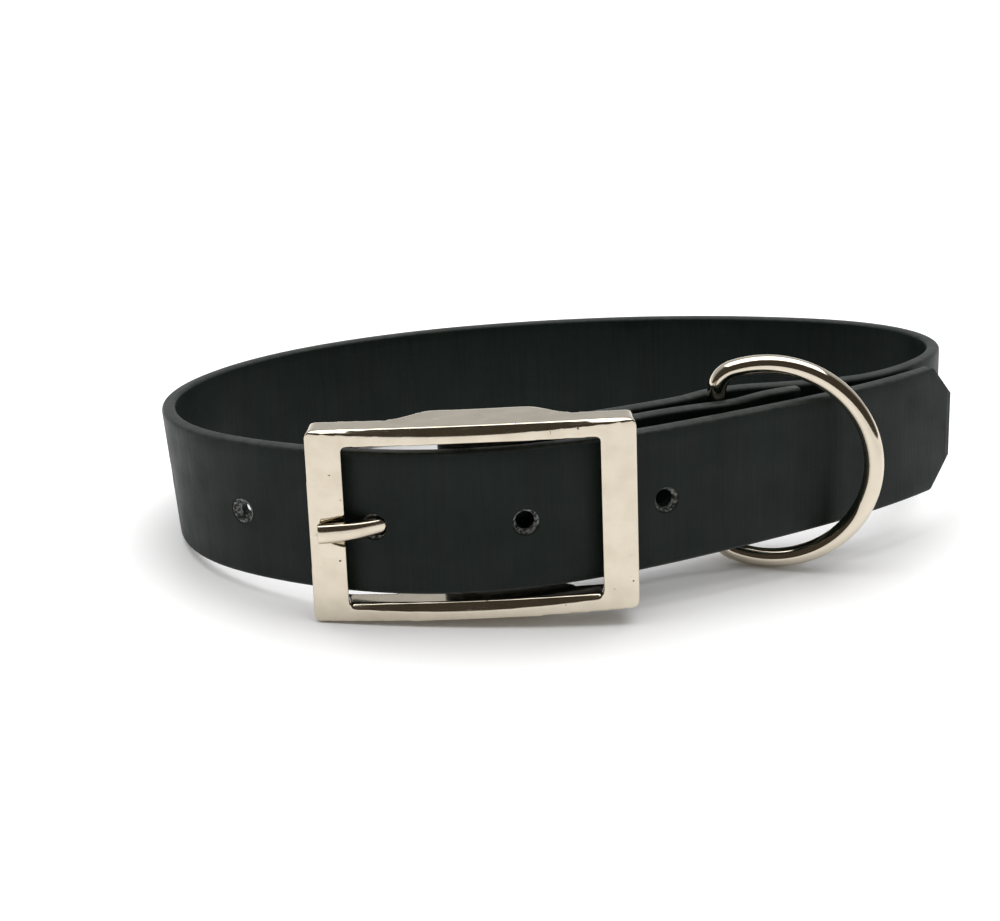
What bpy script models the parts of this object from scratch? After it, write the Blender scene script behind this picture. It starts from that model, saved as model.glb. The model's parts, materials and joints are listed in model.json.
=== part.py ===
# Dog collar with a heel-bar buckle and a D-ring, lying closed as in the photo.
# Lengths below are in millimetres in the collar's own frame: x to the right, y to the back,
# z up along the strap's width, the strap's lower edge at z = 0. The last step sets the whole
# collar down on the floor in metres.
import math

import bmesh
import bpy
import numpy as np
from mathutils import Matrix, Vector

for old in list(bpy.data.objects):
    bpy.data.objects.remove(old)

mm = 0.001

# Strap
strap_width = 25.4
strap_thickness = 2.5
strap_edge_radius = 0.65
hole_pitch = 25.4
first_hole_from_tip = 68.2
hole_count = 5
prong_hole = 3                # which hole the prong is in, counted from the tip
hole_diameter = 4.4
hole_drop = 0.45              # how far the holes sit below the strap's middle
tip_cut_along = 6.0
tip_cut_up = 6.3
left_bend_lean = -3.0         # degrees, the strap's top leans outwards here
bend_middle = 170.0           # distance of that bend from the free tip
bend_reach = 38.0
fold_slot_width = 4.4
fold_slot_length = 11.0
longest_step = 3.2            # between two sections of the strap
largest_turn = 9.0            # degrees between two sections

# Buckle, its x counted from the heel bar that the strap is folded round
frame_to_left = 26.5
frame_to_right = 29.1
frame_below = 4.25            # how far the frame stands out below and above the strap
frame_above = 4.45
frame_bow = 1.4               # how far the middle stands in front of the ends
rail_bow = 0.15               # how far the rails bulge up and down in the middle
edge_fall = 1.5               # how far each rail's upper front edge falls in the middle
edge_fall_ends = 0.25         # and at its ends
edge_fall_depth = 0.7         # over this depth
left_bar_lean = 0.5           # how far the left bar's top leans in
side_bar_width = 6.1
side_bar_depth = 2.2
side_bar_clearance = 0.42     # from the left bar back to the strap
lower_rail_height = 3.1
upper_rail_height = 3.0
lower_rail_depth = 4.3
upper_rail_depth = 4.9
lug_ends = (-12.4, -4.9, 11.1, 18.3)   # where the lugs start to rise, are full, end
lug_behind_bar = 0.6
frame_edge_radius = 0.5
frame_corner_radius = 1.3
window_corner_radius = 0.6
heel_bar_diameter = 3.2
heel_bar_clearance = 0.3      # all round, to the strap's fold

# Prong
prong_width = 3.5
prong_height = 2.2
prong_shank = 0.76            # size of the hidden shank beside the tip's
prong_loop_clearance = 0.3
prong_clearance = 0.35        # to the strap's hole
prong_tip_inset = 1.9         # from the frame's left side
prong_tip_lift = 1.35         # from the frame's face to the prong's middle line
prong_rise = ((0.19, 0.14), (0.36, 0.24), (0.49, 0.37), (0.64, 0.64), (0.79, 0.89), (1, 1))
notch_width = 4.6
notch_clearance = 0.3
notch_run_out = ((1.8, 0.15), (5.3, 0.45))   # beyond the tip, and forward
notch_end_size = 1.2

# D-ring
ring_wire = 3.5
ring_radius = 18.9
ring_reach = 9.32             # from the straight bar to the middle of the round part
ring_corner_radius = 4.5
ring_from_fold = 56.1         # along the strap's folded end
ring_angle = -11.5            # degrees from +x

# Rivets that hold the strap's fold shut, plain and out of sight
rivet_shaft = 3.0
rivet_head = 7.0
rivet_head_height = 0.8
rivet_head_rounding = 0.3
rivet_clearance = 0.35
rivets_from_fold = (34.2, 67.9)   # along the strap's folded end

# How the collar leans on the floor: it rests on the buckle's lower left, on the D-ring and
# on the strap's back
rest_pitch = 3.03             # degrees, front raised
rest_roll = 3.28              # degrees, right side raised

# The strap's middle line, from the free tip through the buckle and round the back to the
# fold over the heel bar and its riveted end
free_end_and_loop = (
    (74.79, -2.46), (67.82, -7.52), (61.08, -11.85), (54.12, -15.82), (47.00, -19.49),
    (39.75, -22.90), (32.42, -26.14), (25.04, -29.24), (17.61, -32.25), (10.10, -35.04),
    (2.48, -37.50), (-5.29, -39.46), (-13.19, -40.76), (-21.18, -41.21), (-29.17, -40.67),
    (-37.04, -39.21), (-44.72, -36.93), (-52.16, -33.97), (-59.32, -30.38), (-65.95, -25.90),
    (-71.49, -20.14), (-75.34, -13.14), (-77.08, -5.35), (-76.28, 2.58), (-73.28, 9.99),
    (-68.77, 16.59), (-63.13, 22.27), (-56.68, 27.01), (-49.71, 30.95), (-42.39, 34.20),
    (-34.84, 36.88), (-27.12, 39.01), (-19.27, 40.62), (-11.35, 41.76), (-3.37, 42.48),
    (4.64, 42.80), (12.65, 42.76), (20.65, 42.32), (28.61, 41.46), (36.51, 40.16),
    (44.33, 38.39), (52.02, 36.17), (59.54, 33.40), (66.63, 29.70), (72.69, 24.50),
    (76.52, 17.53), (76.60, 9.90), (73.30, 3.30), (67.40, -2.70), (61.00, -7.20),
    (54.30, -10.10), (45.90, -11.60), (37.70, -12.30), (32.10, -12.80), (28.70, -13.65),
    (24.80, -15.10), (21.10, -17.50), (17.50, -19.30), (13.50, -20.90), (5.00, -24.00),
    (-3.50, -26.80), (-11.00, -29.10), (-16.00, -30.50), (-20.10, -31.25),
)
folded_end = (
    (-20.10, -37.55), (-15.50, -37.25), (-8.50, -35.40), (0.50, -31.70), (7.50, -28.60),
    (13.80, -25.90), (18.50, -24.30), (22.80, -23.10), (27.80, -21.70), (31.10, -20.10),
    (34.70, -17.80), (38.50, -16.00), (42.30, -14.70),
)

scene = bpy.context.scene
parts = bpy.data.collections.new("collar")
helpers = bpy.data.collections.new("cutters and guides")
helpers.hide_render = True
scene.collection.children.link(parts)
scene.collection.children.link(helpers)


def material(name, color, metallic, roughness):
    made = bpy.data.materials.new(name)
    made.use_nodes = True
    shader = made.node_tree.nodes["Principled BSDF"]
    shader.inputs["Base Color"].default_value = (*color, 1)
    shader.inputs["Metallic"].default_value = metallic
    shader.inputs["Roughness"].default_value = roughness
    return made


webbing = material("coated webbing", (0.016, 0.019, 0.019), 0.0, 0.5)
nickel = material("nickel plate", (0.72, 0.68, 0.62), 1.0, 0.22)


def new_object(name, mesh, kind=None):
    made = bpy.data.objects.new(name, mesh)
    if kind is None:
        helpers.objects.link(made)
        made.hide_render = True
        made.display_type = "WIRE"
    else:
        parts.objects.link(made)
        mesh.materials.append(kind)
    return made


def mesh_from(bm, name):
    mesh = bpy.data.meshes.new(name)
    bmesh.ops.recalc_face_normals(bm, faces=bm.faces)
    bm.to_mesh(mesh)
    bm.free()
    return mesh


def boolean(target, other, operation="DIFFERENCE"):
    modifier = target.modifiers.new(other.name, "BOOLEAN")
    modifier.operation = operation
    modifier.solver = "EXACT"
    modifier.object = other


def baked(source, name):
    """The mesh that an object's modifiers or its curve settings give."""
    bpy.context.view_layer.update()
    graph = bpy.context.evaluated_depsgraph_get()
    mesh = bpy.data.meshes.new_from_object(source.evaluated_get(graph))
    mesh.name = name
    bm = bmesh.new()
    bm.from_mesh(mesh)
    bmesh.ops.remove_doubles(bm, verts=bm.verts, dist=1e-6)
    bmesh.ops.recalc_face_normals(bm, faces=bm.faces)
    bm.to_mesh(mesh)
    bm.free()
    return mesh


def sweep(name, path, profile, tilts=None, sizes=None, cyclic=False):
    """A profile, given as points across and up, carried along a path."""
    outline = bpy.data.curves.new(name + " profile", "CURVE")
    outline.dimensions = "2D"
    ring = outline.splines.new("POLY")
    ring.points.add(len(profile) - 1)
    for point, (across, up) in zip(ring.points, profile):
        point.co = (across * mm, up * mm, 0, 1)
    ring.use_cyclic_u = True
    outline_object = new_object(name + " profile", outline)
    line = bpy.data.curves.new(name + " path", "CURVE")
    line.dimensions = "3D"
    line.twist_mode = "Z_UP"
    line.bevel_mode = "OBJECT"
    line.bevel_object = outline_object
    line.use_fill_caps = not cyclic
    spline = line.splines.new("POLY")
    spline.points.add(len(path) - 1)
    for i, point in enumerate(spline.points):
        point.co = (path[i][0] * mm, path[i][1] * mm, path[i][2] * mm, 1)
        point.tilt = 0 if tilts is None else math.radians(tilts[i])
        point.radius = 1 if sizes is None else sizes[i]
    spline.use_cyclic_u = cyclic
    return baked(new_object(name + " path", line), name)


def rounded_box(width, height, radius, corner_steps):
    """Points of a rounded rectangle round its middle."""
    points = []
    for corner in range(4):
        middle = Vector(((1, 1), (-1, 1), (-1, -1), (1, -1))[corner])
        centre = Vector((middle.x * (width / 2 - radius), middle.y * (height / 2 - radius)))
        for step in range(corner_steps + 1):
            angle = math.pi / 2 * (corner + step / corner_steps)
            points.append((centre.x + radius * math.cos(angle), centre.y + radius * math.sin(angle)))
    return points


def prism(name, outline, low, high, place):
    """An outline in the x and y of its own frame, from low to high along its z."""
    bm = bmesh.new()
    face = bm.faces.new([bm.verts.new((x * mm, y * mm, low * mm)) for x, y in outline])
    made = bmesh.ops.extrude_face_region(bm, geom=[face])
    top = [v for v in made["geom"] if isinstance(v, bmesh.types.BMVert)]
    bmesh.ops.translate(bm, verts=top, vec=(0, 0, (high - low) * mm))
    bmesh.ops.transform(bm, matrix=place, verts=bm.verts)
    return new_object(name, mesh_from(bm, name))


def rod(name, diameter, low, high, place, sides=28):
    turns = [2 * math.pi * i / sides for i in range(sides)]
    circle = [(diameter / 2 * math.cos(t), diameter / 2 * math.sin(t)) for t in turns]
    return prism(name, circle, low, high, place)


def frame_at(x, y, z, across, up):
    """A frame whose z axis runs along across in the plan and whose y axis is up."""
    along = Vector((across[0], across[1], 0)).normalized()
    up = Vector(up).normalized()
    side = up.cross(along)
    turn = Matrix((side, up, along)).transposed().to_4x4()
    return Matrix.Translation((x * mm, y * mm, z * mm)) @ turn


# The strap's route: one smooth line through the points above, with the fold as an arc round
# the heel bar
fold_radius = heel_bar_diameter / 2 + heel_bar_clearance + strap_thickness / 2
heel_bar = (np.array(free_end_and_loop[-1]) + folded_end[0]) / 2
loop_end = heel_bar + (0, fold_radius)
fold_start = heel_bar - (0, fold_radius)
turns = np.radians(np.arange(112.5, 270, 22.5))
fold = heel_bar + fold_radius * np.column_stack((np.cos(turns), np.sin(turns)))
knots = np.vstack((free_end_and_loop[:-1], loop_end, fold, fold_start, folded_end[1:]))
chord = np.concatenate(([0], np.cumsum(np.linalg.norm(np.diff(knots, axis=0), axis=1))))


def natural_spline(at, values, where):
    """A cubic spline with free ends through values at the places at."""
    gap = np.diff(at)
    count = len(at)
    matrix = np.eye(count)
    right = np.zeros_like(values)
    for i in range(1, count - 1):
        matrix[i, i - 1 : i + 2] = gap[i - 1], 2 * (gap[i - 1] + gap[i]), gap[i]
        right[i] = 6 * ((values[i + 1] - values[i]) / gap[i] - (values[i] - values[i - 1]) / gap[i - 1])
    second = np.linalg.solve(matrix, right)
    i = np.clip(np.searchsorted(at, where) - 1, 0, count - 2)
    a = ((at[i + 1] - where) / gap[i])[:, None]
    b = 1 - a
    h = gap[i][:, None] ** 2 / 6
    return a * values[i] + b * values[i + 1] + ((a**3 - a) * second[i] + (b**3 - b) * second[i + 1]) * h


dense = natural_spline(chord, knots, np.linspace(0, chord[-1], 8001))
steps = np.diff(dense, axis=0)
length = np.concatenate(([0], np.cumsum(np.linalg.norm(steps, axis=1))))
heading = np.unwrap(np.arctan2(steps[:, 1], steps[:, 0]))
heading = np.concatenate((heading, heading[-1:]))


def route(distance):
    """Point and unit direction of the strap's middle line, so far along from the free tip."""
    point = np.array([np.interp(distance, length, dense[:, i]) for i in (0, 1)])
    angle = np.interp(distance, length, heading)
    return point, np.array((math.cos(angle), math.sin(angle)))


# Where the layers are: the fold's turning point, and the two layers behind the free end
at_fold = int(np.argmin(np.hypot(dense[:, 0] - heel_bar[0] + fold_radius, dense[:, 1] - heel_bar[1])))
order = np.arange(len(dense))
fold_layer = order > at_fold
loop_layer = (order < at_fold) & (length > length[at_fold] - 110)


def nearest(layer, point):
    """Index in dense of the layer's point that is nearest to a point."""
    away = np.hypot(dense[:, 0] - point[0], dense[:, 1] - point[1])
    return int(np.argmin(np.where(layer, away, np.inf)))


middle = strap_width / 2
hole_height = middle - hole_drop
chosen = [0]
for i in range(1, len(dense)):
    far = length[i] - length[chosen[-1]]
    turned = abs(heading[i] - heading[chosen[-1]])
    if far >= longest_step or (turned >= math.radians(largest_turn) and far > 0.5):
        chosen.append(i)
if length[-1] - length[chosen[-1]] < 1:
    chosen.pop()
chosen.append(len(dense) - 1)
strap_path = [(dense[i][0], dense[i][1], middle) for i in chosen]
leans = [left_bend_lean * math.exp(-2 * ((length[i] - bend_middle) / bend_reach) ** 2) for i in chosen]
section = rounded_box(strap_thickness, strap_width, strap_edge_radius, 2)
strap = new_object("strap", sweep("strap", strap_path, section, tilts=leans), webbing)

# Clipped corners of the free tip: a triangle drawn past the corner on both its open sides
tip, inward = route(0)
slope = tip_cut_up / tip_cut_along
past = 2
for name, sign in (("upper tip corner", 1), ("lower tip corner", -1)):
    corner = [
        (tip_cut_along + past, sign * (middle + past * slope)),
        (-past, sign * (middle + past * slope)),
        (-past, sign * (middle - tip_cut_up - past * slope)),
    ]
    place = frame_at(tip[0], tip[1], middle, (inward[1], -inward[0]), (0, 0, 1))
    if (place.to_3x3() @ Vector((1, 0, 0))).to_2d().dot(Vector(inward)) < 0:
        corner = [(-x, y) for x, y in corner]
    boolean(strap, prism(name, corner, -strap_thickness, strap_thickness, place))

# The holes, each square to the strap
for i in range(hole_count):
    point, direction = route(first_hole_from_tip + i * hole_pitch)
    place = frame_at(point[0], point[1], hole_height, (-direction[1], direction[0]), (0, 0, 1))
    punch = rod(f"hole {i + 1}", hole_diameter, -strap_thickness - 0.1, strap_thickness + 0.1, place)
    boolean(strap, punch)

# Slot in the fold, where the prong turns on the heel bar
slot_outline = rounded_box(fold_slot_length, fold_slot_width, fold_slot_width / 2 - 0.01, 5)
slot_place = frame_at(heel_bar[0], heel_bar[1], hole_height, (0, 1), (0, 0, 1))
slot_reach = fold_radius + strap_thickness / 2 + 0.35
boolean(strap, prism("fold slot", slot_outline, -slot_reach, slot_reach + strap_thickness, slot_place))

# The buckle's place: the left bar stands just in front of the strap
frame_left = heel_bar[0] - frame_to_left
frame_right = heel_bar[0] + frame_to_right
frame_bottom = -frame_below
frame_top = strap_width + frame_above
half_span = (frame_right - frame_left) / 2
frame_middle = (frame_right + frame_left) / 2


def share_bowed(x):
    """0 at the frame's two ends and 1 in its middle."""
    return max(0, 1 - ((x - frame_middle) / half_span) ** 2)


left_inner = frame_left + side_bar_width
front_layer = length < bend_middle
strap_there = float(np.interp(-left_inner, -dense[front_layer][:, 0], dense[front_layer][:, 1]))
bar_back = strap_there - strap_thickness / 2 - side_bar_clearance
frame_front = bar_back - side_bar_depth + frame_bow * share_bowed(left_inner)

# The prong: a rod looped round the heel bar, out through its hole and onto the frame
prong_half = prong_height * prong_shank / 2
prong_loop_radius = heel_bar_diameter / 2 + prong_loop_clearance + prong_half
prong_turns = np.radians(np.linspace(150, -72, 17))
prong_loop = heel_bar + prong_loop_radius * np.column_stack((np.cos(prong_turns), np.sin(prong_turns)))
prong_tip = np.array((frame_left + prong_tip_inset, frame_front - prong_tip_lift))
through, _ = route(first_hole_from_tip + (prong_hole - 1) * hole_pitch)
shank = [prong_loop[-2], prong_loop[-1]]
shank += [prong_loop[-1] + share * (prong_tip - prong_loop[-1]) for share in np.array(prong_rise)]
shank = np.array(shank)
shank_chord = np.concatenate(([0], np.cumsum(np.linalg.norm(np.diff(shank, axis=0), axis=1))))
shank_places = np.linspace(shank_chord[1], shank_chord[-1], 22)[1:]
shank_line = natural_spline(shank_chord, shank, shank_places)
prong_path = [(x, y, hole_height) for x, y in np.vstack((prong_loop, shank_line))]
grow = np.clip((through[0] + 4.5 - np.array([p[0] for p in prong_path])) / 10, 0, 1)
prong_sizes = list(prong_shank + (1 - prong_shank) * grow**1.5)
half_section = ((0.5, 0.08), (0.34, 0.36), (0.12, 0.5), (-0.2, 0.46), (-0.42, 0.3))
prong_section = [*half_section, (-0.5, 0), *[(x, -z) for x, z in reversed(half_section)]]
prong_profile = [(x * prong_height, z * prong_width) for x, z in prong_section]
prong = new_object("prong", sweep("prong", prong_path, prong_profile, sizes=prong_sizes), nickel)
clear_sizes = [size * (1 + 2 * prong_clearance / prong_height) for size in prong_sizes]
clear_from = len(prong_loop) + 4
clear_path = prong_path[clear_from:-3]
room = sweep("prong room", clear_path, prong_profile, sizes=clear_sizes[clear_from:-3])
boolean(strap, new_object("prong room", room))


# The buckle's frame: a flat block with its window, then the rails and the lugs drawn back
def spread(low, high, count):
    return list(np.linspace(low, high, count + 1))


lugs = [heel_bar[0] + x for x in lug_ends]
columns = sorted(set(
    [frame_left, frame_right]
    + spread(left_inner, lugs[0], 3)
    + spread(lugs[0], lugs[1], 2)
    + spread(lugs[1], lugs[2], 4)
    + spread(lugs[2], lugs[3], 2)
    + spread(lugs[3], frame_right - side_bar_width, 4)
))
rows = [frame_bottom, frame_bottom + lower_rail_height, frame_top - upper_rail_height, frame_top]
bm = bmesh.new()
grid = [[bm.verts.new((x, frame_front, z)) for x in columns] for z in rows]
for r in range(3):
    for c in range(len(columns) - 1):
        window = r == 1 and 0 < c < len(columns) - 2
        if not window:
            bm.faces.new((grid[r][c], grid[r][c + 1], grid[r + 1][c + 1], grid[r + 1][c]))


def draw_back(faces, depth):
    """Extrudes faces back, to a depth that may change along x and from rail to rail."""
    closed = all(len(e.link_faces) == 2 for f in faces for e in f.edges)
    made = bmesh.ops.extrude_face_region(bm, geom=faces)["geom"]
    if closed:
        bmesh.ops.delete(bm, geom=[f for f in faces if f.is_valid], context="FACES")
    for v in made:
        if isinstance(v, bmesh.types.BMVert):
            v.co.y = frame_front + depth(v.co.x, v.co.z)
    return [g for g in made if isinstance(g, bmesh.types.BMFace)]


def flat_at(faces, depth):
    return [f for f in faces if all(abs(v.co.y - frame_front - depth) < 1e-4 for v in f.verts)]


def in_rail(face):
    at = face.calc_center_median()
    return (at.z < rows[1] or at.z > rows[2]) and frame_left + 1 < at.x < frame_right - 1


def rail_back(x, z):
    return upper_rail_depth if z > middle else lower_rail_depth


lug_depth = heel_bar[1] + heel_bar_diameter / 2 + lug_behind_bar - frame_front


def lug_back(x, z):
    start = rail_back(x, z) + 0.5
    return start + (lug_depth - start) * float(np.interp(x, lugs, (0, 1, 1, 0)))


lip = draw_back(list(bm.faces), lambda x, z: edge_fall_depth)
behind = draw_back(flat_at(lip, edge_fall_depth), lambda x, z: side_bar_depth)
rails = draw_back([f for f in flat_at(behind, side_bar_depth) if in_rail(f)], rail_back)
draw_back([f for f in rails if lugs[0] < f.calc_center_median().x < lugs[3]], lug_back)


def along_depth(edge, places):
    """True for an edge that runs front to back at one of the places, given as x and z."""
    a, b = (v.co for v in edge.verts)
    here = any(abs(a.x - x) < 1e-4 and abs(a.z - z) < 1e-4 for x, z in places)
    return here and (a - b).length > 1e-4 and abs(a.x - b.x) < 1e-4 and abs(a.z - b.z) < 1e-4


outer_corners = [(x, z) for x in (frame_left, frame_right) for z in (rows[0], rows[3])]
inner_corners = [(x, z) for x in (columns[1], columns[-2]) for z in (rows[1], rows[2])]
for places, radius in ((outer_corners, frame_corner_radius), (inner_corners, window_corner_radius)):
    edges = [e for e in bm.edges if along_depth(e, places)]
    bmesh.ops.bevel(bm, geom=edges, offset=radius, segments=3, profile=0.5, affect="EDGES")
for v in bm.verts:
    bowed = share_bowed(v.co.x)
    in_front = v.co.y < frame_front + 1e-4
    if in_front and (abs(v.co.z - rows[1]) < 1e-4 or abs(v.co.z - rows[3]) < 1e-4):
        v.co.z -= edge_fall_ends + (edge_fall - edge_fall_ends) * bowed**1.3
    v.co.z += rail_bow * bowed * (1 if v.co.z > middle else -1)
    if v.co.x < left_inner + 1:
        v.co.x += left_bar_lean * (v.co.z - frame_bottom) / (frame_top - frame_bottom)
    v.co.y -= frame_bow * bowed
    v.co *= mm
blank = new_object("buckle frame blank", mesh_from(bm, "buckle frame blank"))
rounding = blank.modifiers.new("edges", "BEVEL")
rounding.width = frame_edge_radius * mm
rounding.segments = 2
rounding.limit_method = "ANGLE"
rounding.angle_limit = math.radians(40)
buckle = new_object("buckle_frame", baked(blank, "buckle_frame"), nickel)
bar_place = Matrix.Translation((heel_bar[0] * mm, heel_bar[1] * mm, 0))
bar_seat = lower_rail_height / 2 - rail_bow
heel = rod("heel bar", heel_bar_diameter, frame_bottom + bar_seat, frame_top - bar_seat, bar_place, 24)
boolean(buckle, heel, "UNION")
notch_path = prong_path[-8:] + [(prong_tip[0] - x, prong_tip[1] - y, hole_height) for x, y in notch_run_out]
notch_sizes = [size * (1 + 2 * notch_clearance / prong_height) for size in prong_sizes[-8:]]
notch_profile = [(x * prong_height, z * notch_width) for x, z in prong_section]
notch = sweep("prong notch", notch_path, notch_profile, sizes=notch_sizes + 2 * [notch_end_size])
boolean(buckle, new_object("prong notch", notch))

# The D-ring: a straight bar, two corners and a round bow, from one wire. Its bar lies midway
# between the fold's two layers
in_fold = dense[int(np.searchsorted(length, length[at_fold] + ring_from_fold))]
ring_place = (in_fold + dense[nearest(loop_layer, in_fold)]) / 2
turn_out = ring_radius - ring_corner_radius
corner_up = math.sqrt(turn_out**2 - (ring_corner_radius - ring_reach) ** 2)
meet = math.atan2(corner_up, ring_corner_radius - ring_reach)


def arc(along, up, radius, angles):
    return [(along + radius * math.cos(t), up + radius * math.sin(t)) for t in angles]


outline = arc(ring_reach, 0, ring_radius, np.linspace(-meet, meet, 45))
outline += arc(ring_corner_radius, corner_up, ring_corner_radius, np.linspace(meet, math.pi, 8)[1:])
outline += [(0, up) for up in np.linspace(corner_up, -corner_up, 5)[1:-1]]
outline += arc(ring_corner_radius, -corner_up, ring_corner_radius, np.linspace(-math.pi, -meet, 8)[:-1])
out = (math.cos(math.radians(ring_angle)), math.sin(math.radians(ring_angle)))
wire = bpy.data.curves.new("d_ring wire", "CURVE")
wire.dimensions = "3D"
wire.bevel_depth = ring_wire / 2 * mm
wire.bevel_resolution = 4
spline = wire.splines.new("POLY")
spline.points.add(len(outline) - 1)
for point, (along, up) in zip(spline.points, outline):
    x, y = ring_place[0] + along * out[0], ring_place[1] + along * out[1]
    point.co = (x * mm, y * mm, (middle + up) * mm, 1)
spline.use_cyclic_u = True
new_object("d_ring", baked(new_object("d_ring wire", wire), "d_ring"), nickel)


# Two plain rivets through the fold, one each side of the D-ring
def rivet_profile(low, high):
    """Half a rivet's section, as radius and height: a head, the shaft and the other head."""
    shaft, head = rivet_shaft / 2, rivet_head / 2
    tall, rounding = rivet_head_height, rivet_head_rounding
    return (
        (0, low - tall), (head - rounding, low - tall), (head, low - tall + rounding), (head, low),
        (shaft, low), (shaft, high),
        (head, high), (head, high + tall - rounding), (head - rounding, high + tall), (0, high + tall),
    )


for i, distance in enumerate(rivets_from_fold):
    at = int(np.searchsorted(length, length[at_fold] + distance))
    start = dense[at]
    along_strap = np.array((math.cos(heading[at]), math.sin(heading[at])))
    through_strap = np.array((-along_strap[1], along_strap[0]))
    reach = []
    for layer in (loop_layer, fold_layer):
        away = dense[layer] - start
        under_head = np.abs(away @ along_strap) < rivet_head / 2 + rivet_clearance
        reach.append((away @ through_strap)[under_head])
    wall = strap_thickness / 2 * 1.1 + rivet_clearance
    low, high = float(reach[1].min()) - wall, float(reach[0].max()) + wall
    place = frame_at(start[0], start[1], middle, through_strap, (0, 0, 1))
    line = bmesh.new()
    dots = [line.verts.new((a * mm, 0, b * mm)) for a, b in rivet_profile(low, high)]
    for a, b in zip(dots, dots[1:]):
        line.edges.new((a, b))
    mesh = bpy.data.meshes.new("rivet profile")
    line.to_mesh(mesh)
    line.free()
    turned = new_object(f"rivet {i + 1} profile", mesh)
    lathe = turned.modifiers.new("turned", "SCREW")
    lathe.steps = lathe.render_steps = 24
    lathe.use_merge_vertices = True
    lathe.merge_threshold = 1e-5
    made = baked(turned, f"rivet_{i + 1}")
    made.transform(place)
    new_object(f"rivet_{i + 1}", made, nickel)
    hole = rivet_shaft + 2 * rivet_clearance
    boolean(strap, rod(f"rivet {i + 1} hole", hole, low - 0.6, high + 0.6, place, 20))

# Bake the Booleans, then set the collar down on the floor
for made in (strap, buckle):
    finished = baked(made, made.name)
    made.modifiers.clear()
    made.data = finished
roll = Matrix.Rotation(math.radians(-rest_roll), 4, "Y")
lean = roll @ Matrix.Rotation(math.radians(-rest_pitch), 4, "X")
for made in parts.objects:
    made.data.transform(lean)
corners = np.concatenate([[v.co for v in made.data.vertices] for made in parts.objects])
low, high = corners.min(axis=0), corners.max(axis=0)
shift = Matrix.Translation((-(low[0] + high[0]) / 2, -(low[1] + high[1]) / 2, -low[2]))
for made in parts.objects:
    made.data.transform(shift)
axis_at = shift @ lean @ Vector((ring_place[0] * mm, ring_place[1] * mm, middle * mm))
print("strap length", round(length[-1], 1), "mm, shift", [round(v / mm, 3) for v in shift.translation])
print("ring hinge at", [round(v, 6) for v in axis_at])
print("along", [round(v, 6) for v in lean @ Vector((0, 0, 1))], "ring bar", np.round(ring_place, 3))
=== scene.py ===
# Dog collar on a white table: coated webbing strap, nickel plated buckle and leash ring.
# Lengths are millimetres in the collar's own frame, x to the right, y to the back, z up along
# the strap's width, and toFloor sets them down on the floor in metres.
import json
import math

import bmesh
import bpy
import numpy as np
from mathutils import Matrix, Vector


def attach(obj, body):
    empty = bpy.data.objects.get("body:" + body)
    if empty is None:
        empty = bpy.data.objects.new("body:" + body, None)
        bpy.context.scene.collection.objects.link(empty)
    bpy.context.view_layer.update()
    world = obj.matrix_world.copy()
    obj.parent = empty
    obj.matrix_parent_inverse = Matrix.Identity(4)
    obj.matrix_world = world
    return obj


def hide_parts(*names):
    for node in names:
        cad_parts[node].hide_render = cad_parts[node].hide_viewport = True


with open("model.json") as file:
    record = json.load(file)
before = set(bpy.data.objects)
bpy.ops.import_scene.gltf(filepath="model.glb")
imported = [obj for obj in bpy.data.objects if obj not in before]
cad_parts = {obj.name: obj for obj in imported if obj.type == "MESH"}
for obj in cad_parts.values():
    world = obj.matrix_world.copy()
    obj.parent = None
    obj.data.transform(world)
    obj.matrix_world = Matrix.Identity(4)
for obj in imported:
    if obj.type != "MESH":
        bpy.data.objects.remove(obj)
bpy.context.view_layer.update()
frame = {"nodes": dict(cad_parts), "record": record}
print("frame loaded:", ", ".join(sorted(frame["nodes"])))

mm = 0.001

# How the collar leans on the floor, and the ring's hinge in the collar's own frame
collarRest = {
    "frontRaised": 3.03,          # degrees
    "rightRaised": 3.28,
    "hinge": (26.509, -18.319, 12.7),
}
hinge = frame["record"]["behaviour"]["joints"][0]
leanMatrix = (Matrix.Rotation(math.radians(-collarRest["rightRaised"]), 4, "Y")
              @ Matrix.Rotation(math.radians(-collarRest["frontRaised"]), 4, "X"))
hingeOffset = Vector(hinge["pos_m"]) - leanMatrix @ (Vector(collarRest["hinge"]) * mm)
toFloor = Matrix.Translation(hingeOffset) @ leanMatrix @ Matrix.Scale(mm, 4)


# Camera, at the photograph's place and angle
cameraSetup = {
    "place": (-12.5, -230.0, 95.2),
    "pitchDown": 11.95,           # degrees
    "roll": -2.40,
    "lens": 43.2,
    "shiftY": -0.1883,
}


def makeCamera():
    data = bpy.data.cameras.new("photoCamera")
    data.sensor_width = 36.0
    data.lens = cameraSetup["lens"]
    data.shift_y = cameraSetup["shiftY"]
    data.clip_start = 0.01
    data.clip_end = 20.0
    camera = bpy.data.objects.new("photoCamera", data)
    bpy.context.scene.collection.objects.link(camera)
    pitch = math.radians(cameraSetup["pitchDown"])
    roll = math.radians(cameraSetup["roll"])
    forward = Vector((0, math.cos(pitch), -math.sin(pitch)))
    up = Vector((0, math.sin(pitch), math.cos(pitch)))
    right = Vector((1, 0, 0))
    right, up = right * math.cos(roll) + up * math.sin(roll), up * math.cos(roll) - right * math.sin(roll)
    turn = Matrix((right, up, -forward)).transposed().to_4x4()
    camera.matrix_world = Matrix.Translation(toFloor @ Vector(cameraSetup["place"])) @ leanMatrix @ turn
    bpy.context.scene.camera = camera
    return camera


makeCamera()
print("camera placed")


# Materials

def newMaterial(name):
    made = bpy.data.materials.new(name)
    made.use_nodes = True
    return made, made.node_tree.nodes, made.node_tree.links, made.node_tree.nodes["Principled BSDF"]


def addNode(nodes, kind, settings=None, **values):
    node = nodes.new(kind)
    for key, value in (settings or {}).items():
        setattr(node, key, value)
    for key, value in values.items():
        node.inputs[key].default_value = value
    return node


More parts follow.
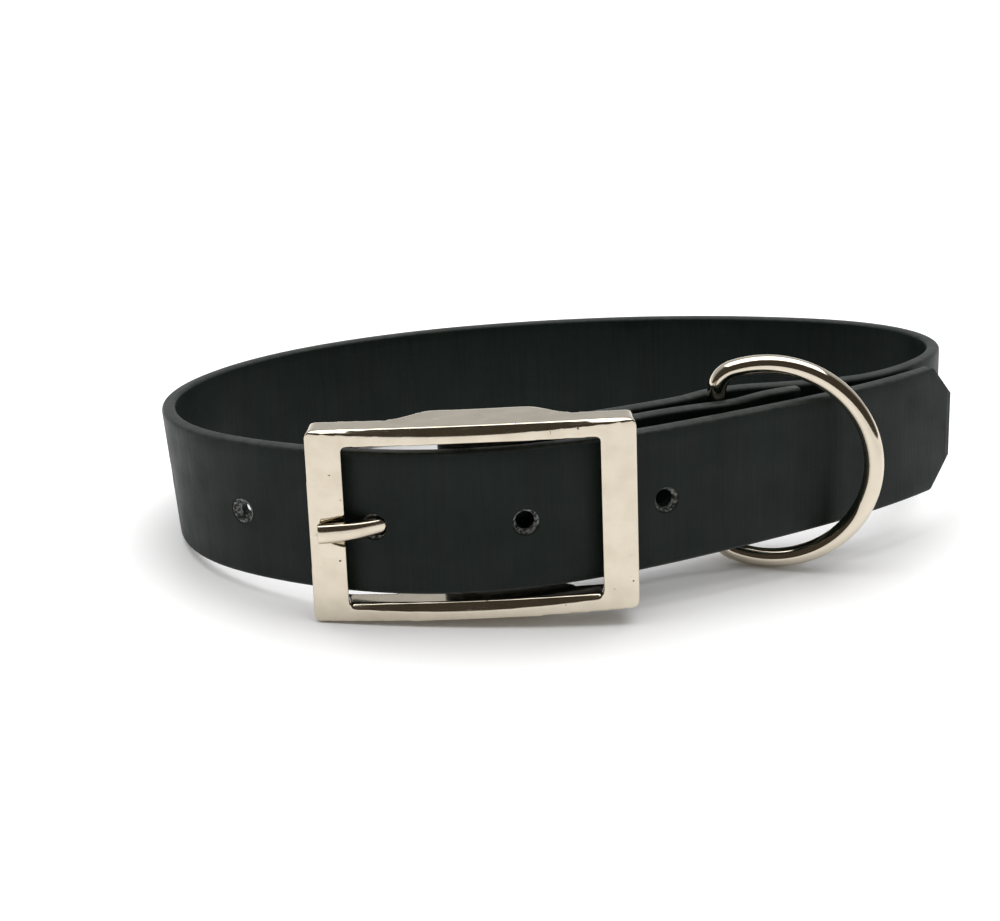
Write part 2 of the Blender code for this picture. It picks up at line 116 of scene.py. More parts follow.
webbingLook = {
    "color": (0.0014, 0.0050, 0.0036, 1),
    "ribColor": (0.0042, 0.0115, 0.0090, 1),
    # paler cut edges: partly uneven wear, partly a painted highlight where the rounded corners catch the top light
    "edgeWearAndHighlightColor": (0.034, 0.040, 0.036, 1),
    "coreAndGlintColor": (0.34, 0.35, 0.33, 1),   # the woven core, bare in the holes, also pale enough to paint in the glints on the holes' rims (painted highlight)
    "ribPitch": 0.42,             # mm along the strap
    "threadPitch": 0.75,          # mm across it
    "roughness": (0.40, 0.58),
    "bump": 0.45,
}


def makeWebbing():
    # a woven core under a thin satin coat: fine ribs across the strap, cloudy gloss, and paler edges that are partly
    # wear and partly a painted highlight
    material, nodes, links, shader = newMaterial("coatedWebbing")
    shader.inputs["Specular IOR Level"].default_value = 0.20
    layout = addNode(nodes, "ShaderNodeUVMap", {"uv_map": "strap"})

    def stretched(along, around):
        scaled = addNode(nodes, "ShaderNodeMapping", None, Scale=(along, around, 1))
        links.new(layout.outputs["UV"], scaled.inputs["Vector"])
        return scaled.outputs["Vector"]

    def noise(vector, scale, detail=3.0, roughness=0.55):
        made = addNode(nodes, "ShaderNodeTexNoise", None, Scale=scale, Detail=detail, Roughness=roughness)
        links.new(vector, made.inputs["Vector"])
        return made.outputs["Fac"]

    def blend(kind, first, second, clamp=False):
        made = addNode(nodes, "ShaderNodeMath", {"operation": kind, "use_clamp": clamp})
        for socket, value in zip(made.inputs, (first, second)):
            if isinstance(value, (int, float)):
                socket.default_value = value
            else:
                links.new(value, socket)
        return made.outputs["Value"]

    def ranged(value, low, high, to=(0, 1)):
        made = addNode(nodes, "ShaderNodeMapRange", None)
        links.new(value, made.inputs["Value"])
        for name, number in zip(("From Min", "From Max", "To Min", "To Max"), (low, high, *to)):
            made.inputs[name].default_value = number
        return made.outputs["Result"]

    # UVs are hundredths of a millimetre, so one unit is 100 mm
    ribs = addNode(nodes, "ShaderNodeTexWave", {"bands_direction": "X", "wave_profile": "SIN"},
                   Scale=100 / webbingLook["ribPitch"] / 6.2832 * 2, Distortion=0.5, Detail=2.0)
    links.new(stretched(1, 0.06), ribs.inputs["Vector"])
    threads = addNode(nodes, "ShaderNodeTexWave", {"bands_direction": "Y", "wave_profile": "SIN"},
                      Scale=100 / webbingLook["threadPitch"] / 6.2832 * 2, Distortion=1.0, Detail=1.0)
    links.new(stretched(0.15, 1), threads.inputs["Vector"])
    streaks = noise(stretched(150, 6), 1.0, 4.0, 0.6)       # lines across the strap, uneven in length
    broad = noise(stretched(38, 3), 1.0, 2.0)
    cloud = noise(stretched(9, 9), 1.0, 3.0)
    grain = noise(stretched(700, 500), 1.0, 2.0)
    weave = blend("ADD", blend("MULTIPLY", ribs.outputs["Fac"], 0.2), blend("MULTIPLY", threads.outputs["Fac"], 0.12))
    relief = blend("ADD", weave, blend("MULTIPLY", streaks, 0.95))
    relief = blend("ADD", relief, blend("MULTIPLY", grain, 0.16))

    tone = blend("ADD", ranged(streaks, 0.38, 0.66, (0, 0.75)), ranged(broad, 0.35, 0.7, (0, 0.45)), True)
    face = addNode(nodes, "ShaderNodeMix", {"data_type": "RGBA"})
    links.new(tone, face.inputs["Factor"])
    face.inputs[6].default_value = webbingLook["color"]
    face.inputs[7].default_value = webbingLook["ribColor"]
    # the edges' paler colour is partly wear and partly a painted highlight on the rounded corners
    edge = addNode(nodes, "ShaderNodeAttribute", {"attribute_name": "edge", "attribute_type": "GEOMETRY"})
    wornAndLitEdge = blend("MULTIPLY", edge.outputs["Fac"], ranged(noise(stretched(60, 40), 1.0), 0.3, 0.7, (0.45, 1.0)), True)
    dressed = addNode(nodes, "ShaderNodeMix", {"data_type": "RGBA"})
    links.new(wornAndLitEdge, dressed.inputs["Factor"])
    links.new(face.outputs[2], dressed.inputs[6])
    dressed.inputs[7].default_value = webbingLook["edgeWearAndHighlightColor"]
    links.new(dressed.outputs[2], shader.inputs["Base Color"])
    low, high = webbingLook["roughness"]
    gloss = blend("ADD", ranged(cloud, 0.3, 0.7, (low, high)), ranged(streaks, 0.35, 0.65, (-0.04, 0.05)), True)
    links.new(gloss, shader.inputs["Roughness"])
    bump = addNode(nodes, "ShaderNodeBump", None, Strength=webbingLook["bump"], Distance=0.00007)
    links.new(relief, bump.inputs["Height"])
    links.new(bump.outputs["Normal"], shader.inputs["Normal"])
    return material


nickelLook = {
    "color": (0.655, 0.59, 0.482, 1),
    "tarnish": (0.50, 0.43, 0.33, 1),
    "pitColor": (0.09, 0.07, 0.05, 1),
}


def makeNickel(name, roughness, wear):
    # bright plating: faint clouds, fine scratches, a soft ripple, and a few pits
    material, nodes, links, shader = newMaterial(name)
    shader.inputs["Metallic"].default_value = 1.0
    place = addNode(nodes, "ShaderNodeTexCoord")

    def noise(scale, stretch=(1, 1, 1), detail=3.0):
        scaled = addNode(nodes, "ShaderNodeMapping", None, Scale=stretch)
        links.new(place.outputs["Object"], scaled.inputs["Vector"])
        made = addNode(nodes, "ShaderNodeTexNoise", None, Scale=scale, Detail=detail)
        links.new(scaled.outputs["Vector"], made.inputs["Vector"])
        return made.outputs["Fac"]

    def ranged(value, low, high, to=(0, 1)):
        made = addNode(nodes, "ShaderNodeMapRange", None)
        links.new(value, made.inputs["Value"])
        for key, number in zip(("From Min", "From Max", "To Min", "To Max"), (low, high, *to)):
            made.inputs[key].default_value = number
        return made.outputs["Result"]

    def mixed(factor, first, second):
        made = addNode(nodes, "ShaderNodeMix", {"data_type": "RGBA"})
        links.new(factor, made.inputs["Factor"])
        for socket, value in ((made.inputs[6], first), (made.inputs[7], second)):
            if isinstance(value, tuple):
                socket.default_value = value
            else:
                links.new(value, socket)
        return made.outputs[2]

    clouds = ranged(noise(260), 0.42, 0.70, (0, 0.35 * wear))
    pits = ranged(noise(900, detail=2.0), 0.752, 0.775)
    scratches = noise(420, (1, 1, 9), 2.0)
    plate = mixed(clouds, nickelLook["color"], nickelLook["tarnish"])
    links.new(mixed(pits, plate, nickelLook["pitColor"]), shader.inputs["Base Color"])
    dull = addNode(nodes, "ShaderNodeMath", {"operation": "ADD", "use_clamp": True})
    links.new(ranged(noise(180), 0.35, 0.7, (roughness * 0.7, roughness * 1.35)), dull.inputs[0])
    links.new(ranged(scratches, 0.58, 0.72, (0, 0.10 * wear)), dull.inputs[1])
    links.new(dull.outputs["Value"], shader.inputs["Roughness"])
    height = addNode(nodes, "ShaderNodeMath", {"operation": "SUBTRACT"})
    links.new(ranged(noise(150, detail=2.0), 0, 1, (0, 1.0)), height.inputs[0])
    links.new(pits, height.inputs[1])
    bump = addNode(nodes, "ShaderNodeBump", None, Strength=0.30 * wear, Distance=0.00025)
    links.new(height.outputs["Value"], bump.inputs["Height"])
    links.new(bump.outputs["Normal"], shader.inputs["Normal"])
    return material


def makeCoreAndGlints():
    # the cut woven core that shows in the punched holes: short pale fibres on near black, which also serve as a
    # painted highlight on the holes' walls
    material, nodes, links, shader = newMaterial("cutCoreAndGlints")
    shader.inputs["Roughness"].default_value = 0.62
    place = addNode(nodes, "ShaderNodeTexCoord")
    fibres = addNode(nodes, "ShaderNodeTexNoise", None, Scale=1500.0, Detail=3.0, Roughness=0.7)
    links.new(place.outputs["Object"], fibres.inputs["Vector"])
    ramp = addNode(nodes, "ShaderNodeMapRange", None)
    links.new(fibres.outputs["Fac"], ramp.inputs["Value"])
    ramp.inputs["From Min"].default_value = 0.44
    ramp.inputs["From Max"].default_value = 0.64
    mix = addNode(nodes, "ShaderNodeMix", {"data_type": "RGBA"})
    links.new(ramp.outputs["Result"], mix.inputs["Factor"])
    mix.inputs[6].default_value = webbingLook["color"]
    mix.inputs[7].default_value = webbingLook["coreAndGlintColor"]
    links.new(mix.outputs[2], shader.inputs["Base Color"])
    bump = addNode(nodes, "ShaderNodeBump", None, Strength=0.7, Distance=0.00015)
    links.new(fibres.outputs["Fac"], bump.inputs["Height"])
    links.new(bump.outputs["Normal"], shader.inputs["Normal"])
    return material


webbing = makeWebbing()
cutCoreAndGlints = makeCoreAndGlints()
nickelPlate = makeNickel("nickelPlate", 0.16, 1.0)
nickelWire = makeNickel("nickelWire", 0.09, 0.45)
print("materials made")


# Strap

strapSize = {
    "width": 25.4,
    "thickness": 2.5,
    "edgeRadius": 0.65,
    "holePitch": 25.4,
    "firstHole": 68.2,            # from the free tip
    "holeCount": 5,
    "holeDiameter": 4.4,
    "holeHeight": 12.25,
    "holeNarrowing": (0.6, 0.6, 1.5, 1.2, 0.8),    # the webbing closes in, most round the prong
    "tipCutAlong": 6.0,
    "tipCutUp": 6.3,
    "bendLean": 3.0,             # degrees, the top leans outwards at the left bend
    "bendMiddle": 170.0,
    "bendReach": 38.0,
    "slotWidth": 4.4,             # the slot in the fold, where the prong turns
    "slotLength": 11.0,
    "prongRoom": 0.35,            # all round the prong
    "rivetHoles": (34.2, 67.9),   # past the fold
    "rivetHole": 3.7,
    "step": 1.2,
    "turn": 3.0,                  # degrees
}
heelBar = (-20.1, -34.4)
freeEndAndLoop = (
    (74.79, -2.46), (67.82, -7.52), (61.08, -11.85), (54.12, -15.82), (47.00, -19.49),
    (39.75, -22.90), (32.42, -26.14), (25.04, -29.24), (17.61, -32.25), (10.10, -35.04),
    (2.48, -37.50), (-5.29, -39.46), (-13.19, -40.76), (-21.18, -41.21), (-29.17, -40.67),
    (-37.04, -39.21), (-44.72, -36.93), (-52.16, -33.97), (-59.32, -30.38), (-65.95, -25.90),
    (-71.49, -20.14), (-75.34, -13.14), (-77.08, -5.35), (-76.28, 2.58), (-73.28, 9.99),
    (-68.77, 16.59), (-63.13, 22.27), (-56.68, 27.01), (-49.71, 30.95), (-42.39, 34.20),
    (-34.84, 36.88), (-27.12, 39.01), (-19.27, 40.62), (-11.35, 41.76), (-3.37, 42.48),
    (4.64, 42.80), (12.65, 42.76), (20.65, 42.32), (28.61, 41.46), (36.51, 40.16),
    (44.33, 38.39), (52.02, 36.17), (59.54, 33.40), (66.63, 29.70), (72.69, 24.50),
    (76.52, 17.53), (76.60, 9.90), (73.30, 3.30), (67.40, -2.70), (61.00, -7.20),
    (54.30, -10.10), (45.90, -11.60), (37.70, -12.30), (32.10, -12.80), (28.70, -13.65),
    (24.80, -15.10), (21.10, -17.50), (17.50, -19.30), (13.50, -20.90), (5.00, -24.00),
    (-3.50, -26.80), (-11.00, -29.10), (-16.00, -30.50), (-20.10, -31.25),
)
foldedEnd = (
    (-20.10, -37.55), (-15.50, -37.25), (-8.50, -35.40), (0.50, -31.70), (7.50, -28.60),
    (13.80, -25.90), (18.50, -24.30), (22.80, -23.10), (27.80, -21.70), (31.10, -20.10),
    (34.70, -17.80), (38.50, -16.00), (42.30, -14.70),
)


def naturalSpline(at, values, where):
    # a cubic spline with free ends through values at the places at
    gap = np.diff(at)
    count = len(at)
    matrix = np.eye(count)
    right = np.zeros_like(values)
    for i in range(1, count - 1):
        matrix[i, i - 1:i + 2] = gap[i - 1], 2 * (gap[i - 1] + gap[i]), gap[i]
        right[i] = 6 * ((values[i + 1] - values[i]) / gap[i] - (values[i] - values[i - 1]) / gap[i - 1])
    second = np.linalg.solve(matrix, right)
    i = np.clip(np.searchsorted(at, where) - 1, 0, count - 2)
    a = ((at[i + 1] - where) / gap[i])[:, None]
    b = 1 - a
    h = gap[i][:, None] ** 2 / 6
    return a * values[i] + b * values[i + 1] + ((a**3 - a) * second[i] + (b**3 - b) * second[i + 1]) * h


foldRadius = (freeEndAndLoop[-1][1] - foldedEnd[0][1]) / 2
foldTurns = np.radians(np.arange(112.5, 270, 22.5))
foldArc = np.array(heelBar) + foldRadius * np.column_stack((np.cos(foldTurns), np.sin(foldTurns)))
knots = np.vstack((freeEndAndLoop, foldArc, foldedEnd))
chord = np.concatenate(([0], np.cumsum(np.linalg.norm(np.diff(knots, axis=0), axis=1))))
dense = naturalSpline(chord, knots, np.linspace(0, chord[-1], 8001))
strides = np.diff(dense, axis=0)
length = np.concatenate(([0], np.cumsum(np.linalg.norm(strides, axis=1))))
heading = np.unwrap(np.arctan2(strides[:, 1], strides[:, 0]))
heading = np.concatenate((heading, heading[-1:]))


def routeAt(distance):
    # point and unit direction of the strap's middle line, so far along from the free tip
    point = np.array([np.interp(distance, length, dense[:, i]) for i in (0, 1)])
    angle = np.interp(distance, length, heading)
    return point, np.array((math.cos(angle), math.sin(angle)))


def newObject(name, bm, material, smooth=True):
    mesh = bpy.data.meshes.new(name)
    bmesh.ops.recalc_face_normals(bm, faces=bm.faces)
    bm.to_mesh(mesh)
    bm.free()
    for face in mesh.polygons:
        face.use_smooth = smooth
    if material:
        mesh.materials.append(material)
    made = bpy.data.objects.new(name, mesh)
    bpy.context.scene.collection.objects.link(made)
    return made


def strapSection(thickness, width, radius):
    # one turn round the strap's section, with enough points on its faces to bend and bake well
    corners = []
    for corner in range(4):
        cx, cy = ((1, 1), (-1, 1), (-1, -1), (1, -1))[corner]
        for step in range(5):
            angle = math.pi / 2 * (corner + step / 4)
            corners.append((cx * (thickness / 2 - radius) + radius * math.cos(angle),
                            cy * (width / 2 - radius) + radius * math.sin(angle)))
    full = []
    for (x, y), (nextX, nextY) in zip(corners, corners[1:] + corners[:1]):
        full.append((x, y))
        if abs(nextY - y) > width / 2:
            full += [(x + (nextX - x) * k / 12, y + (nextY - y) * k / 12) for k in range(1, 12)]
    return full


def makeStrapBlank():
    chosen = [0]
    for i in range(1, len(dense)):
        far = length[i] - length[chosen[-1]]
        turned = abs(heading[i] - heading[chosen[-1]])
        if far >= strapSize["step"] or (turned >= math.radians(strapSize["turn"]) and far > 0.3):
            chosen.append(i)
    chosen[-1] = len(dense) - 1
    section = strapSection(strapSize["thickness"], strapSize["width"], strapSize["edgeRadius"])
    bm = bmesh.new()
    uvLayer = bm.loops.layers.uv.new("strap")
    rings = []
    for i in chosen:
        lean = math.radians(strapSize["bendLean"]) * math.exp(
            -(((length[i] - strapSize["bendMiddle"]) / strapSize["bendReach"]) ** 2) * 2)
        side = np.array((math.sin(heading[i]), -math.cos(heading[i])))
        ring = []
        for across, up in section:
            tiltedAcross = across * math.cos(lean) - up * math.sin(lean)
            tiltedUp = across * math.sin(lean) + up * math.cos(lean)
            x, y = dense[i] + side * tiltedAcross
            ring.append(bm.verts.new((x, y, strapSize["width"] / 2 + tiltedUp)))
        rings.append(ring)
    around = np.concatenate(([0], np.cumsum([math.dist(section[k], section[(k + 1) % len(section)])
                                             for k in range(len(section))])))
    for r in range(len(rings) - 1):
        for k in range(len(section)):
            n = (k + 1) % len(section)
            face = bm.faces.new((rings[r][k], rings[r][n], rings[r + 1][n], rings[r + 1][k]))
            corners = ((r, k), (r, k + 1), (r + 1, k + 1), (r + 1, k))
            for loop, (row, col) in zip(face.loops, corners):
                loop[uvLayer].uv = (length[chosen[row]] * 0.01, around[col] * 0.01)
    for ring in (rings[0], rings[-1]):
        bm.faces.new(ring)
    blank = newObject("webbingStrap", bm, webbing)
    # how near each point is to the strap's cut edges, for the paler colour there: partly wear, partly a painted
    # highlight on the rounded corners
    edge = blank.data.attributes.new("edge", "FLOAT", "POINT")
    half = strapSize["width"] / 2
    nearEdge = [1.0 if abs(up) > half - 0.5 else 0.0 for _, up in section] * len(rings)
    edge.data.foreach_set("value", nearEdge)
    return blank


def frameAt(x, y, z, across):
    # a frame whose z axis runs along across in the plan and whose y axis is up
    along = Vector((across[0], across[1], 0)).normalized()
    up = Vector((0, 0, 1))
    turn = Matrix((up.cross(along), up, along)).transposed().to_4x4()
    return Matrix.Translation((x, y, z)) @ turn


def cutter(name, outline, low, high, place):
    bm = bmesh.new()
    face = bm.faces.new([bm.verts.new((x, y, low)) for x, y in outline])
    top = [v for v in bmesh.ops.extrude_face_region(bm, geom=[face])["geom"] if isinstance(v, bmesh.types.BMVert)]
    bmesh.ops.translate(bm, verts=top, vec=(0, 0, high - low))
    bmesh.ops.transform(bm, matrix=place, verts=bm.verts)
    made = newObject(name, bm, None, smooth=False)
    made.hide_render = True
    made.display_type = "WIRE"
    return made


def punch(name, profile, place, sides=32):
    # a turned cutter: profile is (radius, height) from one face of the strap to the other
    bm = bmesh.new()
    rings = []
    for radius, height in profile:
        rings.append([bm.verts.new((radius * math.cos(2 * math.pi * k / sides),
                                    radius * math.sin(2 * math.pi * k / sides), height)) for k in range(sides)])
    for level, (a, b) in enumerate(zip(rings, rings[1:])):
        for k in range(sides):
            n = (k + 1) % sides
            band = bm.faces.new((a[k], a[n], b[n], b[k]))
            # the hole's wall takes the pale core, partly real fibres and partly a painted highlight
            band.material_index = 0 if 2 <= level <= 3 else 1
    bm.faces.new(rings[0])
    bm.faces.new(rings[-1])
    bmesh.ops.transform(bm, matrix=place, verts=bm.verts)
    made = newObject(name, bm, cutCoreAndGlints, smooth=False)
    made.data.materials.append(webbing)
    made.hide_render = True
    made.display_type = "WIRE"
    return made


def cut(target, tool):
    modifier = target.modifiers.new(tool.name, "BOOLEAN")
    modifier.material_mode = "TRANSFER"
    modifier.operation = "DIFFERENCE"
    modifier.solver = "EXACT"
    modifier.object = tool


def bakeModifiers(target, tools):
    bpy.context.view_layer.update()
    graph = bpy.context.evaluated_depsgraph_get()
    mesh = bpy.data.meshes.new_from_object(target.evaluated_get(graph))
    target.modifiers.clear()
    target.data = mesh
    for tool in tools:
        bpy.data.objects.remove(tool)


def prongRoom():
    # the prong's own shape, a little larger, cuts its way through the strap
    mesh = frame["nodes"]["prong"].data.copy()
    mesh.transform(toFloor.inverted())
    bm = bmesh.new()
    bm.from_mesh(mesh)
    bmesh.ops.remove_doubles(bm, verts=bm.verts, dist=1e-4)
    bm.normal_update()
    for vert in bm.verts:
        vert.co += vert.normal * strapSize["prongRoom"]
    for layer in list(bm.loops.layers.uv.values()):
        bm.loops.layers.uv.remove(layer)
    made = newObject("prongRoom", bm, None, smooth=False)
    made.hide_render = True
    made.display_type = "WIRE"
    return made


def makeStrap():
    strap = makeStrapBlank()
    tools = []
    size = strapSize
    half = size["thickness"] / 2
    # the free tip's clipped corners
    tip, inward = routeAt(0)
    slope = size["tipCutUp"] / size["tipCutAlong"]
    for name, sign in (("upperTipCut", 1), ("lowerTipCut", -1)):
        outline = [(size["tipCutAlong"] + 2, sign * (size["width"] / 2 + 2 * slope)),
                   (-2, sign * (size["width"] / 2 + 2 * slope)),
                   (-2, sign * (size["width"] / 2 - size["tipCutUp"] - 2 * slope))]
        place = frameAt(tip[0], tip[1], size["width"] / 2, (inward[1], -inward[0]))
        if (place.to_3x3() @ Vector((1, 0, 0))).to_2d().dot(Vector(inward)) < 0:
            outline = [(-x, y) for x, y in outline]
        tools.append(cutter(name, outline, -2 * half, 2 * half, place))
    # punched holes with a small rolled rim
    r = size["holeDiameter"] / 2
    rim = 0.3
    for i in range(size["holeCount"]):
        point, direction = routeAt(size["firstHole"] + i * size["holePitch"])
        place = frameAt(point[0], point[1], size["holeHeight"], (-direction[1], direction[0]))
        narrow = size["holeNarrowing"][i]
        profile = ((r - narrow + 1, -half - 1), (r - narrow, -half - 0.02), (r - narrow, half - 1.1),
                   (r - 0.15, half - rim * 1.5), (r + 0.05, half - rim * 0.6),
                   (r + rim, half + 0.02), (r + rim + 1, half + 1))
        tools.append(punch(f"hole{i + 1}", profile, place))
    # the slot in the fold
    w, l = size["slotWidth"] / 2, size["slotLength"] / 2
    turns = np.linspace(0, math.pi, 11)
    slot = [(l - w + w * math.sin(t), w * math.cos(t)) for t in turns]
    slot += [(-l + w - w * math.sin(t), -w * math.cos(t)) for t in turns]
    reach = foldRadius + half + 0.35
    place = frameAt(heelBar[0], heelBar[1], size["holeHeight"], (0, 1))
    tools.append(cutter("foldSlot", slot, -reach, reach + size["thickness"], place))
    # the rivets' holes
    atFold = int(np.argmin(np.hypot(dense[:, 0] - heelBar[0] + foldRadius, dense[:, 1] - heelBar[1])))
    for i, distance in enumerate(size["rivetHoles"]):
        at = int(np.searchsorted(length, length[atFold] + distance))
        through = (-math.sin(heading[at]), math.cos(heading[at]))
        place = frameAt(dense[at][0], dense[at][1], size["width"] / 2, through)
        ring = [(size["rivetHole"] / 2 * math.cos(t), size["rivetHole"] / 2 * math.sin(t))
                for t in np.linspace(0, 2 * math.pi, 24, endpoint=False)]
        tools.append(cutter(f"rivetHole{i + 1}", ring, -half - 1.5, half + 9.5, place))
    tools.append(prongRoom())
    for tool in tools:
        cut(strap, tool)
    bakeModifiers(strap, tools)
    strap.data.transform(toFloor)
    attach(strap, "collar")
    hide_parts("strap")
    return strap


makeStrap()
print("strap made")

# Buckle, prong and rivets: the frame's own forms, with cast and worn edges

buckleSize = {
    "voxel": 0.23,
    "softening": 3,               # smoothing passes, which round the cast edges
    "front": -41.6,               # y of the frame's face at its two ends
    "bow": 1.4,
    "left": -46.6,
    "right": 9.0,
    "lugs": (-32.5, -25.0, -9.0, -1.8),
    "lugStart": 5.2,              # depth where the lugs begin
}


def copyOfNode(name, node, material):
    # a new piece with the node's form, in the collar's own frame
    mesh = frame["nodes"][node].data.copy()
    mesh.transform(toFloor.inverted())
    bm = bmesh.new()
    bm.from_mesh(mesh)
    bpy.data.meshes.remove(mesh)
    bmesh.ops.remove_doubles(bm, verts=bm.verts, dist=1e-4)
    made = newObject(name, bm, None)
    made.data.materials.clear()
    made.data.materials.append(material)
    return made


def finishPiece(piece, body, node):
    piece.data.transform(toFloor)
    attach(piece, body)
    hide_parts(node)


def makeBuckle():
    size = buckleSize
    buckle = copyOfNode("castBuckle", "buckle_frame", nickelPlate)
    remesh = buckle.modifiers.new("voxels", "REMESH")
    remesh.mode = "VOXEL"
    remesh.voxel_size = size["voxel"]
    remesh.use_smooth_shade = True
    smooth = buckle.modifiers.new("castEdges", "SMOOTH")
    smooth.factor = 0.5
    smooth.iterations = size["softening"]
    bakeModifiers(buckle, [])
    # the lugs swell in a soft curve from the rails
    count = len(buckle.data.vertices)
    points = np.empty(count * 3)
    buckle.data.vertices.foreach_get("co", points)
    points = points.reshape(-1, 3)
    middle, halfSpan = (size["left"] + size["right"]) / 2, (size["right"] - size["left"]) / 2
    bowed = np.clip(1 - ((points[:, 0] - middle) / halfSpan) ** 2, 0, 1)
    depth = points[:, 1] + size["bow"] * bowed - size["front"]
    straight = np.interp(points[:, 0], size["lugs"], (0, 1, 1, 0))
    curved = straight**2 * (3 - 2 * straight)
    part = np.clip(depth - size["lugStart"], 0, None)
    onLug = (straight > 0.02) & (straight < 0.999)
    points[:, 1] -= np.where(onLug, part * (1 - curved / np.maximum(straight, 0.02)), 0)
    buckle.data.vertices.foreach_set("co", points.ravel())
    buckle.data.materials.clear()
    buckle.data.materials.append(nickelPlate)
    for face in buckle.data.polygons:
        face.use_smooth = True
    finishPiece(buckle, "collar", "buckle_frame")


def makeProng():
    prong = copyOfNode("castProng", "prong", nickelPlate)
    bevel = prong.modifiers.new("wornEdges", "BEVEL")
    bevel.width = 0.22
    bevel.segments = 3
    bevel.limit_method = "ANGLE"
    bevel.angle_limit = math.radians(24)
    bevel.harden_normals = False
    bakeModifiers(prong, [])
    prong.data.shade_smooth()
    finishPiece(prong, "collar", "prong")


def makeRivets():
    for i in (1, 2):
        rivet = copyOfNode(f"flatRivet{i}", f"rivet_{i}", nickelPlate)
        bevel = rivet.modifiers.new("wornEdges", "BEVEL")
        bevel.width = 0.12
        bevel.segments = 2
        bevel.limit_method = "ANGLE"
        bevel.angle_limit = math.radians(40)
        bakeModifiers(rivet, [])
        rivet.data.shade_smooth()
        finishPiece(rivet, "collar", f"rivet_{i}")


makeBuckle()
makeProng()
makeRivets()
print("buckle, prong and rivets made")


# Leash ring: one bent wire, straight on the side that lies in the fold
ringSize = {
    "wire": 3.5,
    "radius": 18.9,
    "reach": 9.32,
    "corner": 4.5,
    "angle": -11.5,
}


def arcPoints(along, up, radius, angles):
    return [(along + radius * math.cos(t), up + radius * math.sin(t)) for t in angles]


def makeRing():
    size = ringSize
    turnOut = size["radius"] - size["corner"]
    cornerUp = math.sqrt(turnOut**2 - (size["corner"] - size["reach"]) ** 2)
    meet = math.atan2(cornerUp, size["corner"] - size["reach"])
    line = arcPoints(size["reach"], 0, size["radius"], np.linspace(-meet, meet, 90))
    line += arcPoints(size["corner"], cornerUp, size["corner"], np.linspace(meet, math.pi, 16)[1:])
    line += [(0, up) for up in np.linspace(cornerUp, -cornerUp, 9)[1:-1]]
    line += arcPoints(size["corner"], -cornerUp, size["corner"], np.linspace(-math.pi, -meet, 16)[:-1])
    turn = math.radians(size["angle"])
    out = Vector((math.cos(turn), math.sin(turn), 0))
    side = Vector((-out.y, out.x, 0))
    start = Vector(collarRest["hinge"])
    centres = [start + out * along + Vector((0, 0, up)) for along, up in line]
    bm = bmesh.new()
    rings = []
    for i, centre in enumerate(centres):
        along = (centres[(i + 1) % len(centres)] - centres[i - 1]).normalized()
        across = along.cross(side).normalized()
        rings.append([bm.verts.new(centre + size["wire"] / 2 * (math.cos(t) * across + math.sin(t) * side))
                      for t in np.linspace(0, 2 * math.pi, 32, endpoint=False)])
    for first, second in zip(rings, rings[1:] + rings[:1]):
        for k in range(32):
            n = (k + 1) % 32
            bm.faces.new((first[k], first[n], second[n], second[k]))
    ring = newObject("leashRing", bm, nickelWire)
    finishPiece(ring, "ring", "d_ring")


makeRing()
print("leash ring made")


# Floor and light
studio = {
    "floorSize": 8.0,
    "floorColor": (0.88, 0.88, 0.885, 1),
    "floorRoughness": 0.35,
    "floorPaintedGlow": (0.38, 1.0),     # painted glow: the table emits light of its own, weaker near the collar and full far off
    "paintedGlowReach": (0.25, 1.1),     # metres from the collar
    "paintedShadowReach": 0.016,        # how far the painted contact shadow spreads round a touching thing
    "lowBack": 1.0,               # just above the table, behind the collar
    "highBack": 0.58,
    "frontColor": (0.060, 0.050, 0.038),   # the dim room on the viewer's side
}


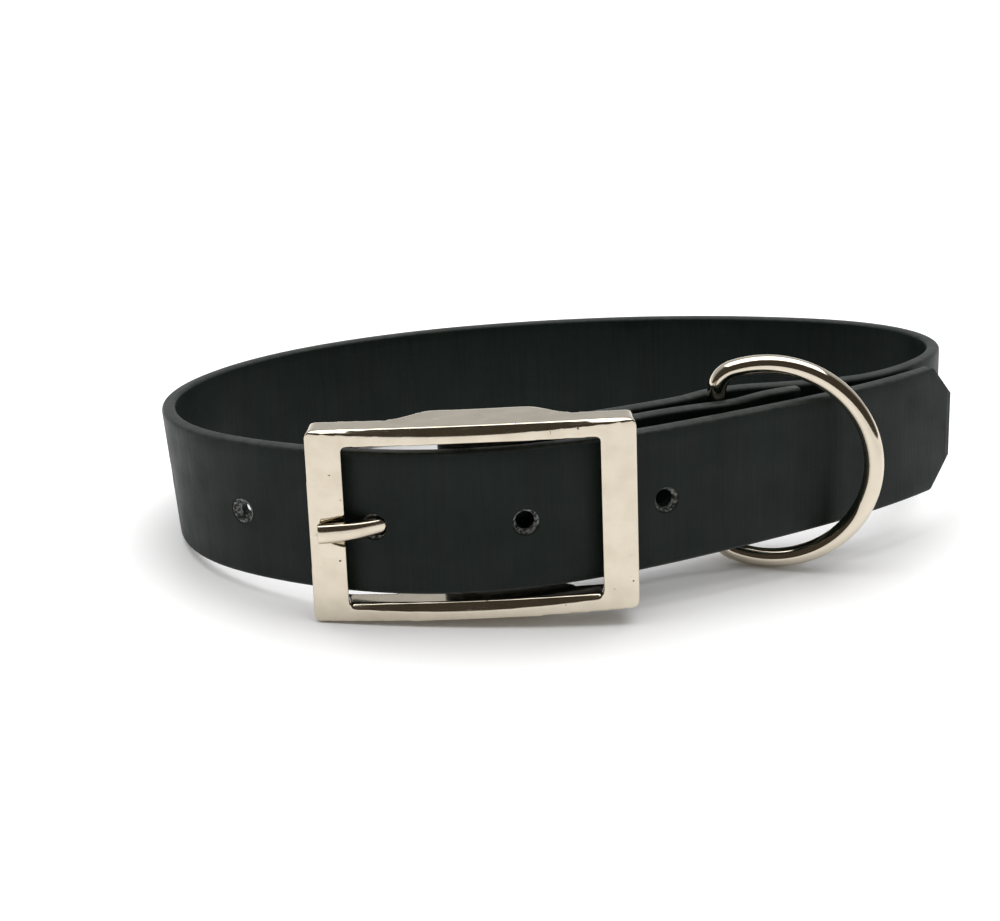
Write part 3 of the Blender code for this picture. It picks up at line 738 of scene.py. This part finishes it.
def makeFloor():
    material, nodes, links, shader = newMaterial("whiteTable")
    shader.inputs["Base Color"].default_value = studio["floorColor"]
    shader.inputs["Roughness"].default_value = studio["floorRoughness"]
    shader.inputs["Specular IOR Level"].default_value = 0.3
    shader.inputs["Emission Color"].default_value = (1, 1, 1, 1)
    # the table glows though it is no lamp: painted light rising with distance from the collar, dimmed near touching
    # parts as a painted contact shadow
    place = addNode(nodes, "ShaderNodeTexCoord")
    away = addNode(nodes, "ShaderNodeVectorMath", {"operation": "LENGTH"})
    links.new(place.outputs["Object"], away.inputs[0])
    paintedGlow = addNode(nodes, "ShaderNodeMapRange")
    links.new(away.outputs["Value"], paintedGlow.inputs["Value"])
    for name, number in zip(("From Min", "From Max", "To Min", "To Max"), studio["paintedGlowReach"] + studio["floorPaintedGlow"]):
        paintedGlow.inputs[name].default_value = number
    # painted contact shadow: ambient occlusion dims the table's glow close to the collar
    paintedContactShadow = addNode(nodes, "ShaderNodeAmbientOcclusion", {"samples": 4}, Distance=studio["paintedShadowReach"])
    paintedShadowFactor = addNode(nodes, "ShaderNodeMath", {"operation": "POWER"})
    links.new(paintedContactShadow.outputs["AO"], paintedShadowFactor.inputs[0])
    paintedShadowFactor.inputs[1].default_value = 1.5
    strength = addNode(nodes, "ShaderNodeMath", {"operation": "MULTIPLY"})
    links.new(paintedGlow.outputs["Result"], strength.inputs[0])
    links.new(paintedShadowFactor.outputs["Value"], strength.inputs[1])
    links.new(strength.outputs["Value"], shader.inputs["Emission Strength"])
    bm = bmesh.new()
    bmesh.ops.create_grid(bm, x_segments=1, y_segments=1, size=studio["floorSize"] / 2)
    floor = newObject("whiteTable", bm, material, smooth=False)


def makeWorld():
    # white low behind the collar, greyer above that, and a dim warm room in front
    world = bpy.data.worlds.new("studio")
    bpy.context.scene.world = world
    world.use_nodes = True
    nodes, links = world.node_tree.nodes, world.node_tree.links
    background = nodes["Background"]
    place = nodes.new("ShaderNodeTexCoord")
    split = nodes.new("ShaderNodeSeparateXYZ")
    links.new(place.outputs["Generated"], split.inputs["Vector"])

    def ranged(output, low, high, toLow, toHigh):
        made = nodes.new("ShaderNodeMapRange")
        made.interpolation_type = "SMOOTHSTEP"
        links.new(split.outputs[output], made.inputs["Value"])
        for name, number in zip(("From Min", "From Max", "To Min", "To Max"), (low, high, toLow, toHigh)):
            made.inputs[name].default_value = number
        return made.outputs["Result"]

    back = nodes.new("ShaderNodeCombineColor")
    low, high = studio["lowBack"], studio["highBack"]
    for channel in ("Red", "Green", "Blue"):
        links.new(ranged("Z", 0.07, 0.24, low, high), back.inputs[channel])
    mix = nodes.new("ShaderNodeMix")
    mix.data_type = "RGBA"
    links.new(ranged("Y", -0.12, 0.45, 0, 1), mix.inputs["Factor"])
    mix.inputs[6].default_value = (*studio["frontColor"], 1)
    links.new(back.outputs["Color"], mix.inputs[7])
    links.new(mix.outputs[2], background.inputs["Color"])
    background.inputs["Strength"].default_value = 1.0


def softbox(name, place, target, size, power, color=(1, 1, 1)):
    data = bpy.data.lights.new(name, "AREA")
    data.shape = "RECTANGLE"
    data.size, data.size_y = size
    data.energy = power
    data.color = color
    lamp = bpy.data.objects.new(name, data)
    bpy.context.scene.collection.objects.link(lamp)
    lamp.location = place
    lamp.rotation_mode = "QUATERNION"
    lamp.rotation_quaternion = (Vector(target) - Vector(place)).to_track_quat("-Z", "Y")
    return lamp


makeFloor()
makeWorld()
softbox("topSoftbox", (0.0, 0.12, 1.0), (0, 0.02, 0), (1.6, 0.9), 13)
bpy.context.scene.view_settings.view_transform = "Standard"
print("studio set")
